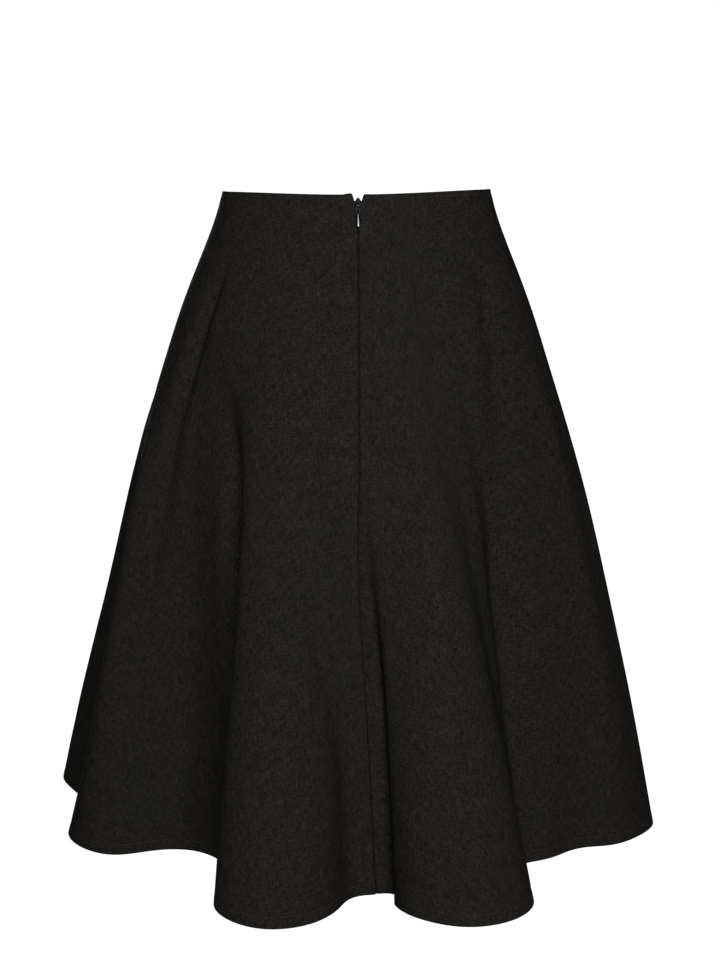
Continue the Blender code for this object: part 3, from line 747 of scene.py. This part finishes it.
def beads_along(name, lines, tree, values, look, body):
    """Runs the bead tree over the guide lines and keeps the result as a plain mesh."""
    guide = bpy.data.objects.new(name + "_guide", guide_mesh(name + "_guide", lines))
    bpy.context.scene.collection.objects.link(guide)
    modifier = guide.modifiers.new("beads", "NODES")
    modifier.node_group = tree
    for item in tree.interface.items_tree:
        if item.in_out == "INPUT" and item.name in values:
            modifier[item.identifier] = values[item.name]
        if item.in_out == "INPUT" and item.name == "Material":
            modifier[item.identifier] = look
    shown = guide.evaluated_get(bpy.context.evaluated_depsgraph_get())
    mesh = bpy.data.meshes.new_from_object(shown)
    mesh.name = name
    bpy.data.objects.remove(guide)
    if len(mesh.polygons) == 0:
        raise RuntimeError(f"{name} has no beads")
    return link_mesh(name, mesh, look, body)


def beside_seam(drops, goal, sign):
    """Places that lie a distance in millimetres from the centre back, or past it where that is below zero."""
    seam = FORM.plain(np.full_like(drops, CENTRE_BACK), drops)
    place = np.full_like(drops, CENTRE_BACK)
    for _ in range(14):
        far = np.linalg.norm(FORM.plain(place, drops) - seam, axis=-1)
        place = place + sign * np.sign(goal) * (np.abs(goal) - far) / FORM.hem_arc[-1]
    return place


def zip_axes():
    """Axes at the slider: X across, Y outwards from the cloth, Z up along it, in metres."""
    plain = SkirtForm(TROUGHS)
    drops = (SLIDER_DROP, SLIDER_DROP + 5.0, SLIDER_DROP - 5.0)
    spots = [plain.frame(np.array([CENTRE_BACK]), np.array([drop])) for drop in drops]
    up = Vector(spots[2][0][0] - spots[1][0][0]).normalized()
    out = up.cross(Vector((1.0, 0.0, 0.0))).normalized()
    if out.dot(Vector(spots[0][2][0])) < 0.0:
        out.negate()
    across = out.cross(up).normalized()
    axes = Matrix((across, out, up)).transposed().to_4x4()
    axes.translation = Vector(spots[0][0][0])
    return Matrix.Scale(MM, 4) @ axes


def smooth_by_angle(mesh, degrees):
    bm = bmesh.new()
    bm.from_mesh(mesh)
    limit = math.radians(degrees)
    for edge in bm.edges:
        sharp = len(edge.link_faces) == 2 and edge.calc_face_angle(0.0) > limit
        edge.smooth = not sharp
    for face in bm.faces:
        face.smooth = True
    bm.to_mesh(mesh)
    bm.free()


def rounded_plate(bm, outline, low, high, edge, dome, rings):
    """A closed plate from an outline in X and Z, with rounded edges and a domed outer face at y high."""
    centre = (0.0, sum(z for _, z in outline) / len(outline))

    def ring(scale_in, y):
        made = []
        for x, z in outline:
            dx, dz = x - centre[0], z - centre[1]
            far = math.hypot(dx, dz)
            k = max(0.0, (far - scale_in) / far)
            made.append(bm.verts.new((centre[0] + dx * k, y, centre[1] + dz * k)))
        return made

    loops = [ring(edge, low)]
    for a in (30.0, 60.0, 90.0):
        r = math.radians(a)
        loops.append(ring(edge * (1.0 - math.sin(r)), low + edge * (1.0 - math.cos(r))))
    for a in (0.0, 30.0, 60.0, 90.0):
        r = math.radians(a)
        loops.append(ring(edge * (1.0 - math.cos(r)), high - edge + edge * math.sin(r)))
    for k in range(1, rings):
        t = k / rings
        made = []
        for x, z in outline:
            dx, dz = x - centre[0], z - centre[1]
            far = math.hypot(dx, dz)
            s = max(0.0, (far - edge) / far) * (1.0 - t)
            made.append(bm.verts.new((centre[0] + dx * s, high + dome * (1.0 - (1.0 - t) ** 2), centre[1] + dz * s)))
        loops.append(made)
    count = len(outline)
    for a, b in zip(loops, loops[1:]):
        for i in range(count):
            j = (i + 1) % count
            bm.faces.new((a[i], a[j], b[j], b[i]))
    for loop, y in ((loops[0], low), (loops[-1], high + dome)):
        tip = bm.verts.new((centre[0], y, centre[1]))
        for i in range(count):
            bm.faces.new((loop[i], loop[(i + 1) % count], tip))


def swept_bar(bm, path, half_wide, half_thick, sides):
    """A closed bar of elliptic section along a path in the Y and Z plane."""
    loops = []
    for i, (y, z) in enumerate(path):
        y0, z0 = path[max(0, i - 1)]
        y1, z1 = path[min(len(path) - 1, i + 1)]
        ty, tz = y1 - y0, z1 - z0
        length = math.hypot(ty, tz)
        ny, nz = -tz / length, ty / length
        loop = []
        for k in range(sides):
            a = 2.0 * math.pi * k / sides
            x = half_wide * math.cos(a)
            o = half_thick * math.sin(a)
            loop.append(bm.verts.new((x, y + ny * o, z + nz * o)))
        loops.append(loop)
    for a, b in zip(loops, loops[1:]):
        for k in range(sides):
            j = (k + 1) % sides
            bm.faces.new((a[k], a[j], b[j], b[k]))
    for loop in (loops[0], loops[-1]):
        bm.faces.new(loop)


def smooth_outline(half, count):
    """A closed smooth outline in X and Z from the points of its right half, listed from the top down."""
    points = np.array(half + [(-x, z) for x, z in half[-2:0:-1]], float)
    hop = np.hypot(*(np.roll(points, -1, 0) - points).T)
    s = np.concatenate([[0.0], np.cumsum(hop)[:-1]]) / hop.sum()
    t = np.arange(count) / count
    return np.stack([cubic_through(s, points[:, 0], t, 1.0), cubic_through(s, points[:, 1], t, 1.0)], -1).tolist()


def finish_metal(bm, name, matrix, look, body):
    bmesh.ops.remove_doubles(bm, verts=bm.verts, dist=1e-5)
    bmesh.ops.recalc_face_normals(bm, faces=bm.faces)
    bmesh.ops.transform(bm, matrix=matrix, verts=bm.verts)
    bmesh.ops.recalc_face_normals(bm, faces=bm.faces)
    mesh = bpy.data.meshes.new(name)
    bm.to_mesh(mesh)
    bm.free()
    smooth_by_angle(mesh, 40.0)
    return link_mesh(name, mesh, look, body)


# What a user would change
COLOUR = {"subtype": "COLOR", "size": 3, "min": 0.0, "max": 1.0}
POWER = {"subtype": "POWER", "min": 0.0, "max": 1000.0}
FINE = {"subtype": "DISTANCE", "precision": 5}


class ClothSettings(PropertyGroup):
    colour: FloatVectorProperty(
        name="Cloth Colour",
        description="Colour of the dyed cloth",
        default=linear("#1c1b19"), **COLOUR,
    )
    wall: FloatProperty(
        name="Cloth Thickness",
        description="Thickness of one layer of the cloth",
        default=0.9 * MM, min=0.3 * MM, max=1.2 * MM, unit="LENGTH", **FINE,
    )
    back_columns: IntProperty(
        name="Back Columns",
        description="Columns of faces across each back panel",
        default=140, min=40, max=220,
    )
    front_columns: IntProperty(
        name="Front Columns",
        description="Columns of faces across the front panel",
        default=250, min=80, max=280,
    )
    row_step: FloatProperty(
        name="Row Step",
        description="Height of a row of faces, in millimetres",
        default=5.0, min=3.0, max=20.0,
    )
    seam_gap: FloatProperty(
        name="Seam Gap",
        description="Space between two panels where they are sewn, in millimetres",
        default=0.5, min=0.02, max=1.0,
    )


class StitchSettings(PropertyGroup):
    # The thread's colour is lighter than the black cloth as painted sheen, standing in for the light the polyester
    # thread catches along its stitches.
    colour: FloatVectorProperty(
        name="Thread Colour",
        description="Colour of the sewing thread",
        default=linear("#2c2a27"), **COLOUR,
    )
    spacing: FloatProperty(
        name="Stitch Spacing",
        description="From the start of one stitch to the next",
        default=2.5 * MM, min=1.0 * MM, max=6.0 * MM, unit="LENGTH", **FINE,
    )
    length: FloatProperty(
        name="Stitch Length",
        description="Length of the thread that shows",
        default=1.8 * MM, min=0.5 * MM, max=5.0 * MM, unit="LENGTH", **FINE,
    )
    thread: FloatProperty(
        name="Thread Width",
        description="Width of the sewing thread",
        default=0.42 * MM, min=0.1 * MM, max=1.0 * MM, unit="LENGTH", **FINE,
    )


class ZipSettings(PropertyGroup):
    # The tape's colour is darker than its own black, as painted shade: the slit between the seam's edges, where tape
    # and coil show, reads as shaded.
    tape_painted_shade_colour: FloatVectorProperty(
        name="Tape Colour",
        description="Colour of the zip's tape",
        default=linear("#080808"), **COLOUR,
    )
    metal_colour: FloatVectorProperty(
        name="Lacquer Colour",
        description="Colour of the lacquer on the slider and its tab",
        default=linear("#0c0c0c"), **COLOUR,
    )
    coil_pitch: FloatProperty(
        name="Coil Pitch",
        description="From one tooth of the coil to the next",
        default=1.3 * MM, min=0.8 * MM, max=3.0 * MM, unit="LENGTH", **FINE,
    )


class StudioSettings(PropertyGroup):
    key_power: FloatProperty(
        name="Key Light",
        description="Power of the large soft light beside the camera",
        default=48.5, unit="POWER", **POWER,
    )
    fill_power: FloatProperty(
        name="Fill Light",
        description="Power of the soft light on the right, which the left and the far one follow",
        default=6.0, unit="POWER", **POWER,
    )
    room: FloatProperty(
        name="Room Light",
        description="Brightness of the white room on the side of the camera",
        default=0.08, min=0.0, max=6.0,
    )
    behind: FloatProperty(
        name="Room Behind",
        description="Brightness of the room behind the skirt, as a part of the brightness in front",
        default=0.05, min=0.0, max=1.0,
    )
    floor_drop: FloatProperty(
        name="Floor Drop",
        description="Depth of the floor under the waist, as the skirt is worn",
        default=1.05, min=0.7, max=1.5, subtype="DISTANCE", unit="LENGTH",
    )
    lens: FloatProperty(
        name="Lens",
        description="Focal length of the camera, in millimetres",
        default=69.19, min=20.0, max=200.0,
    )
    tilt: FloatProperty(
        name="Camera Tilt",
        description="How far the camera looks down",
        default=math.radians(9.551), min=0.0, max=1.5, subtype="ANGLE", unit="ROTATION",
    )


# The pieces


class SKIRT_OT_cloth_panels(Operator):
    """Makes the front and the two back panels as thin shells of cloth"""

    bl_idname = "flared_skirt.cloth_panels"
    bl_label = "Cloth Panels"

    def execute(self, context):
        own = context.scene.skirt_cloth
        look = woven_cloth("black_woven_suiting", tuple(own.colour), 1.15, 0.5)
        wall = own.wall / MM
        for name, node, first, last, columns in (
            ("back_left_cloth", "back_panel_left", CENTRE_BACK, LEFT_SIDE, own.back_columns),
            ("front_cloth", "front_panel", LEFT_SIDE, RIGHT_SIDE, own.front_columns),
            ("back_right_cloth", "back_panel_right", RIGHT_SIDE, CENTRE_BACK + 1.0, own.back_columns),
        ):
            mesh = panel_mesh(name, first, last, columns, own.row_step, wall, own.seam_gap)
            made = link_mesh(name, mesh, look, "skirt")
            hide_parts(node)
        return {"FINISHED"}


class SKIRT_OT_edge_stitching(Operator):
    """Sews the waist edge and the hem with rows of thread stitches"""

    bl_idname = "flared_skirt.edge_stitching"
    bl_label = "Edge Stitching"

    def execute(self, context):
        own = context.scene.skirt_stitches
        # The thread's lighter colour is painted sheen on the stitches.
        look = sewing_thread("sewing_thread_painted_sheen", tuple(own.colour))
        lines = []
        gap = 0.0016
        for first, last in (
            (CENTRE_BACK, LEFT_SIDE),
            (LEFT_SIDE, RIGHT_SIDE),
            (RIGHT_SIDE, CENTRE_BACK + 1.0),
        ):
            reach = int(1600 * (last - first))
            for drop, lift in ((WAIST_STITCH, -0.22), (HEM_STITCH, -0.30)):
                start = first + (0.012 if is_centre_back(first) and drop < 50.0 else gap)
                end = last - (0.012 if is_centre_back(last) and drop < 50.0 else gap)
                places = np.linspace(start, end, reach)
                lines.append(guide_line(places, np.full(reach, drop), lift))
        tree = beads_tree("stitch_row")
        values = {
            "Spacing": own.spacing,
            "Length": own.length,
            "Width": own.thread,
            "Height": own.thread,
            "Unevenness": 0.12,
            "Seed": 5,
        }
        made = beads_along("edge_stitches", lines, tree, values, look, "skirt")
        return {"FINISHED"}


class SKIRT_OT_zip_tapes(Operator):
    """Makes the two halves of the zip's tape and the coil along their edges"""

    bl_idname = "flared_skirt.zip_tapes"
    bl_label = "Zip Tapes and Coil"

    def execute(self, context):
        own = context.scene.skirt_zip
        # The tape and the coil both take this darker colour: painted shade for the slit between the seam's edges.
        look = polyester_tape("polyester_tape_painted_shade", tuple(own.tape_painted_shade_colour))
        nylon = black_lacquer("nylon_coil_painted_shade", tuple(own.tape_painted_shade_colour), 0.5, 0.05)
        tree = beads_tree("zip_coil")
        rows = np.concatenate([np.linspace(TAPE_TOP, 14.0, 7), np.linspace(17.0, ZIP_END, 60)])
        behind = SOLID_GAP + SOLID_WALL * (1.0 + smooth_step((WAIST_TURN + 2.2 - rows) / 1.2))
        for name, node, sign, inner_edge in (
            ("zip_tape_left_weave", "zip_tape_left", 1.0, -0.35),
            ("zip_tape_right_weave", "zip_tape_right", -1.0, 0.55),
        ):
            # Under the slider the left tape closes over the seam and the right one stops just short of it.
            columns = []
            for reach in TAPE_COLUMNS:
                closed = inner_edge if reach == TAPE_COLUMNS[0] else reach
                place = beside_seam(rows, np.where(rows > TAPE_CLOSES, closed, reach), sign)
                spot, _, out = FORM.frame(place, rows)
                columns.append((spot, out))
            outer, inner = (
                np.array([spot - out * (behind + depth)[:, None] for spot, out in columns]).transpose(1, 0, 2)
                for depth in (0.08, 0.68)
            )
            verts, faces = closed_strip(outer, inner, 0)
            mesh = bpy.data.meshes.new(name)
            mesh.from_pydata(verts, [], faces)
            finish_cloth(mesh, [(reach * MM, drop * MM) for drop in rows for reach in TAPE_COLUMNS] * 2)
            smooth_by_angle(mesh, 50.0)
            made = link_mesh(name, mesh, look, "skirt")
            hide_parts(node)
            # The coil lies on the tape's inner edge, from just under the slider to the tape's end.
            line = np.linspace(18.0, ZIP_END - 2.0, 400)
            spot, _, out = FORM.frame(beside_seam(line, 0.62, sign), line)
            run = ((spot - out * (SOLID_WALL + SOLID_GAP + 0.75)) * MM, out)
            values = {
                "Spacing": own.coil_pitch,
                "Length": own.coil_pitch * 0.92,
                "Width": 1.15 * MM,
                "Height": 1.3 * MM,
                "Unevenness": 0.0,
                "Seed": 1,
            }
            side = "left" if sign > 0.0 else "right"
            coil = beads_along(f"zip_coil_{side}", [run], tree, values, nylon, "skirt")
        return {"FINISHED"}


class SKIRT_OT_zip_slider(Operator):
    """Makes the lacquered slider with its bridge, and the teardrop pull tab that hangs on it"""

    bl_idname = "flared_skirt.zip_slider"
    bl_label = "Zip Slider and Pull Tab"

    def execute(self, context):
        own = context.scene.skirt_zip
        gloss = black_lacquer("black_lacquered_zinc", tuple(own.metal_colour), 0.14, 0.5)
        satin = black_lacquer("satin_black_zinc", tuple(own.metal_colour), 0.4, 0.05)
        axes = zip_axes()
        bm = bmesh.new()
        inside = -(2.0 * SOLID_WALL + 1.0 + 2.0 * SOLID_GAP + 0.2)
        rounded_plate(bm, smooth_outline(SLIDER_OUTLINE, 56), PLATE_LOW, PLATE_LOW + PLATE, 0.5, 0.12, 5)
        rounded_plate(bm, smooth_outline(SLIDER_INSIDE, 40), inside - PLATE, inside, 0.5, 0.0, 4)
        swept_bar(bm, [(inside - 0.3, 4.6), (0.5 * inside, 4.75), (0.9, 4.6)], 0.75, 0.95, 12)
        plates = len(bm.faces)
        arch = []
        for k in range(17):
            a = math.pi * k / 16
            arch.append((1.75 + 2.75 * math.sin(a) ** 0.75, 2.75 * math.cos(a)))
        swept_bar(bm, arch, 0.72, 0.52, 12)
        bm.faces.ensure_lookup_table()
        for face in bm.faces[plates:]:
            face.material_index = 1
        made = finish_metal(bm, "slider_lacquered", axes, (satin, gloss), "skirt")
        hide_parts("zip_slider")
        bm = bmesh.new()
        self.tab_rings(bm)
        hang = Matrix.Translation(PIN) @ Matrix.Rotation(math.radians(3.0), 4, "X")
        made = finish_metal(bm, "pull_tab_lacquered", axes @ hang, gloss, "pull_tab")
        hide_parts("zip_pull_tab")
        return {"FINISHED"}

    def tab_rings(self, bm):
        """The teardrop: a round eye, a narrow neck and a ridged belly, as rings from its edge to its slot."""
        count = 72
        outer = smooth_outline(TAB_OUTLINE, count)
        slot = smooth_outline(TAB_SLOT, count)
        down = np.array([z for _, z in TAB_OUTLINE])
        wide = np.array([x for x, _ in TAB_OUTLINE])

        def height(x, z, mix):
            """Rise of the outer face: round over the eye, ridged down the middle of the belly."""
            half_wide = max(0.05, float(np.interp(-z, -down, wide)))
            q = min(1.0, abs(x) / half_wide)
            ridge = 1.0 - (math.hypot(q, 0.6) - 0.6) / (math.hypot(1.0, 0.6) - 0.6)
            belly = float(smooth_step((-z - 3.4) / 2.6))
            end = math.sqrt(max(0.0, 1.0 - max(0.0, (-z - 16.0) / 3.5) ** 2))
            eye = 0.6 * math.sin(math.pi * min(1.0, mix)) ** 0.8
            return eye * (1.0 - belly) + (0.95 + 0.045 * (z + 6.0)) * end * ridge * belly

        def ring(mix, inset, y, domed):
            made = []
            for (ox, oz), (hx, hz) in zip(outer, slot):
                far = math.hypot(hx - ox, hz - oz)
                k = mix + inset / max(far, 1e-6)
                x, z = ox + (hx - ox) * k, oz + (hz - oz) * k
                made.append(bm.verts.new((x, y + (height(x, z, mix) if domed else 0.0), z)))
            return made

        half = 0.45
        loops = [ring(0.0, 0.35, -half, False), ring(0.0, 0.08, -half * 0.75, False), ring(0.0, 0.0, 0.0, False)]
        loops.append(ring(0.0, 0.08, half * 0.6, False))
        for k in range(1, 16):
            loops.append(ring(k / 16.0, 0.0, half * 0.8, True))
        loops += [ring(1.0, 0.0, half * 0.7, False), ring(1.0, 0.0, -half * 0.7, False)]
        for k in (12, 8, 4):
            loops.append(ring(k / 16.0, 0.0, -half, False))
        for a, b in zip(loops, loops[1:] + loops[:1]):
            for i in range(count):
                j = (i + 1) % count
                bm.faces.new((a[i], a[j], b[j], b[i]))


WHITE = {"Color": (1.0, 1.0, 1.0, 1.0), "Strength": 1.05}
AIM = Vector((0.0, 0.0, -0.3))
CAMERA_PLACE = (0.0035, -1.8, 0.0194)
FLOOR_RADIUS = 9.0


def white_room(scene, room, behind):
    """White where the camera sees it, and dim for the skirt: brighter on the camera's side than behind."""
    world = bpy.data.worlds.new("white_room")
    scene.world = world
    world.use_nodes = True
    tree = world.node_tree
    tree.nodes.clear()
    seen = add_node(tree, "ShaderNodeBackground", None, WHITE).outputs[0]
    way = add_node(tree, "ShaderNodeTexCoord").outputs["Generated"]
    side = add_node(tree, "ShaderNodeSeparateXYZ", None, {"Vector": way}).outputs["Y"]
    glow = remap(tree, side, -1.0, 0.1, room, room * behind, "SMOOTHSTEP")
    felt = add_node(tree, "ShaderNodeBackground", None, WHITE | {"Strength": glow}).outputs[0]
    path = add_node(tree, "ShaderNodeLightPath").outputs["Is Camera Ray"]
    mix = add_node(tree, "ShaderNodeMixShader", None, {0: path, 1: felt, 2: seen}).outputs[0]
    add_node(tree, "ShaderNodeOutputWorld", None, {"Surface": mix})


def studio_floor(scene, drop):
    """White where the camera sees it from above, clear from below; for the skirt it only bounces light."""
    paint, tree, shader = new_material("white_studio_floor")
    shader.inputs["Base Color"].default_value = (0.25, 0.25, 0.25, 1.0)
    shader.inputs["Roughness"].default_value = 0.9
    bright = add_node(tree, "ShaderNodeEmission", None, WHITE).outputs[0]
    direct = add_node(tree, "ShaderNodeLightPath").outputs["Is Camera Ray"]
    above = add_node(tree, "ShaderNodeMixShader", None, {0: direct, 1: shader.outputs[0], 2: bright}).outputs[0]
    under = add_node(tree, "ShaderNodeNewGeometry").outputs["Backfacing"]
    clear = add_node(tree, "ShaderNodeBsdfTransparent").outputs[0]
    whole = add_node(tree, "ShaderNodeMixShader", None, {0: under, 1: above, 2: clear}).outputs[0]
    for node in tree.nodes:
        if node.bl_idname == "ShaderNodeOutputMaterial":
            tree.links.new(whole, node.inputs["Surface"])
    bm = bmesh.new()
    bmesh.ops.create_circle(bm, cap_ends=True, segments=96, radius=FLOOR_RADIUS)
    bmesh.ops.translate(bm, verts=bm.verts, vec=(0.0, 0.0, -drop))
    mesh = bpy.data.meshes.new("studio_floor")
    bm.to_mesh(mesh)
    bm.free()
    mesh.materials.append(paint)
    floor = bpy.data.objects.new("studio_floor", mesh)
    scene.collection.objects.link(floor)


def soft_light(scene, name, place, size, power):
    """A round soft light that faces the middle of the skirt."""
    data = bpy.data.lights.new(name, "AREA")
    data.shape = "DISK"
    data.size = size
    data.energy = power
    data.color = (1.0, 1.0, 1.0)
    light = bpy.data.objects.new(name, data)
    light.location = place
    light.rotation_euler = (AIM - Vector(place)).to_track_quat("-Z", "Y").to_euler()
    scene.collection.objects.link(light)


def photo_camera(scene, length, tilt):
    """The camera that took the photograph: level with the waist, looking down a little."""
    lens = bpy.data.cameras.new("photo_camera")
    lens.sensor_fit = "AUTO"
    lens.sensor_width = 36.0
    lens.lens = length
    lens.clip_start = 0.05
    lens.clip_end = 50.0
    camera = bpy.data.objects.new("photo_camera", lens)
    camera.location = CAMERA_PLACE
    camera.rotation_euler = (0.5 * math.pi - tilt, 0.0, 0.0)
    scene.collection.objects.link(camera)
    scene.camera = camera


class SKIRT_OT_studio(Operator):
    """Sets the white floor, the soft lights and the camera"""

    bl_idname = "flared_skirt.studio"
    bl_label = "Studio"

    def execute(self, context):
        own = context.scene.skirt_studio
        scene = context.scene
        scene.view_settings.view_transform = "Standard"
        scene.view_settings.look = "None"
        scene.view_settings.exposure = 0.0
        scene.view_settings.gamma = 1.0
        white_room(scene, own.room, own.behind)
        studio_floor(scene, own.floor_drop)
        soft_light(scene, "key_light", (0.22, -1.95, 0.42), 1.0, own.key_power)
        soft_light(scene, "fill_light_left", (-2.8, -0.5, 0.3), 1.2, 2.4 * own.fill_power)
        soft_light(scene, "fill_light_right", (2.75, -0.6, 0.3), 1.2, own.fill_power)
        soft_light(scene, "far_side_light", (-0.5, 2.5, 0.6), 1.4, 7.0 * own.fill_power)
        photo_camera(scene, own.lens, own.tilt)
        return {"FINISHED"}


class SKIRT_PT_pieces(Panel):
    """Lists the skirt's pieces in the sidebar"""

    bl_idname = "SKIRT_PT_pieces"
    bl_label = "Flared Skirt"
    bl_space_type = "VIEW_3D"
    bl_region_type = "UI"
    bl_category = "Flared Skirt"

    def draw(self, context):
        scene = context.scene
        for title, settings, names, operators in PANEL_ROWS:
            box = self.layout.box()
            box.label(text=title)
            group = getattr(scene, settings)
            for name in names:
                box.prop(group, name)
            for operator in operators:
                box.operator(operator)


PANEL_ROWS = (
    ("Cloth", "skirt_cloth", ("colour", "wall", "seam_gap"), ("flared_skirt.cloth_panels",)),
    ("Stitching", "skirt_stitches", ("colour", "spacing", "length", "thread"), ("flared_skirt.edge_stitching",)),
    (
        "Zip",
        "skirt_zip",
        ("tape_painted_shade_colour", "metal_colour", "coil_pitch"),
        ("flared_skirt.zip_tapes", "flared_skirt.zip_slider"),
    ),
    ("Studio", "skirt_studio", ("key_power", "fill_power", "room", "behind", "floor_drop"), ("flared_skirt.studio",)),
)

CLASSES = (
    ClothSettings,
    StitchSettings,
    ZipSettings,
    StudioSettings,
    SKIRT_OT_cloth_panels,
    SKIRT_OT_edge_stitching,
    SKIRT_OT_zip_tapes,
    SKIRT_OT_zip_slider,
    SKIRT_OT_studio,
    SKIRT_PT_pieces,
)

SETTINGS = {
    "skirt_cloth": ClothSettings,
    "skirt_stitches": StitchSettings,
    "skirt_zip": ZipSettings,
    "skirt_studio": StudioSettings,
}


def register():
    for kind in CLASSES:
        bpy.utils.register_class(kind)
    for name, kind in SETTINGS.items():
        setattr(bpy.types.Scene, name, PointerProperty(type=kind))


def unregister():
    for name in SETTINGS:
        delattr(bpy.types.Scene, name)
    for kind in reversed(CLASSES):
        bpy.utils.unregister_class(kind)


def main():
    register()
    bpy.ops.flared_skirt.studio()
    bpy.ops.flared_skirt.cloth_panels()
    bpy.ops.flared_skirt.edge_stitching()
    bpy.ops.flared_skirt.zip_tapes()
    bpy.ops.flared_skirt.zip_slider()


if __name__ == "__main__":
    main()
